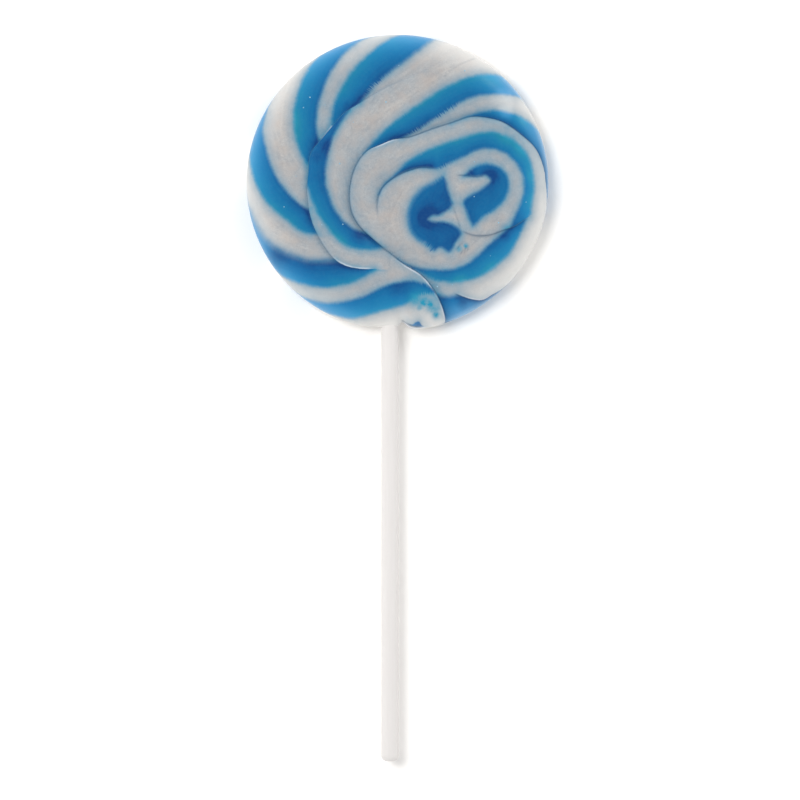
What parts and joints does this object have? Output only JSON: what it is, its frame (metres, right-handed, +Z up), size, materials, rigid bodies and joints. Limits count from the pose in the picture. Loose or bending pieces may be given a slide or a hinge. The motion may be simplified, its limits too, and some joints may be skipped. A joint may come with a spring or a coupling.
{
  "type": "swirl lollipop",
  "caption": "Round flat lollipop of blue and white hard candy wound into a folded swirl, lying face up, on a slim white stick.",
  "frame": {"origin": "middle of the candy disc's flat back, on the surface it lies on", "axes": "+Z up out of the swirl face, -Y along the stick away from the disc, +X to the right seen from above with the stick towards the viewer"},
  "size_m": [0.0706, 0.1702, 0.0113],
  "materials": {
    "candy": "glossy boiled sugar, striped white and blue right through, slightly translucent",
    "stick": "smooth white moulded stick with a soft sheen"
  },
  "bodies": {
    "root": {"candy": "candy", "stick": "stick"}
  },
  "joints": []
}
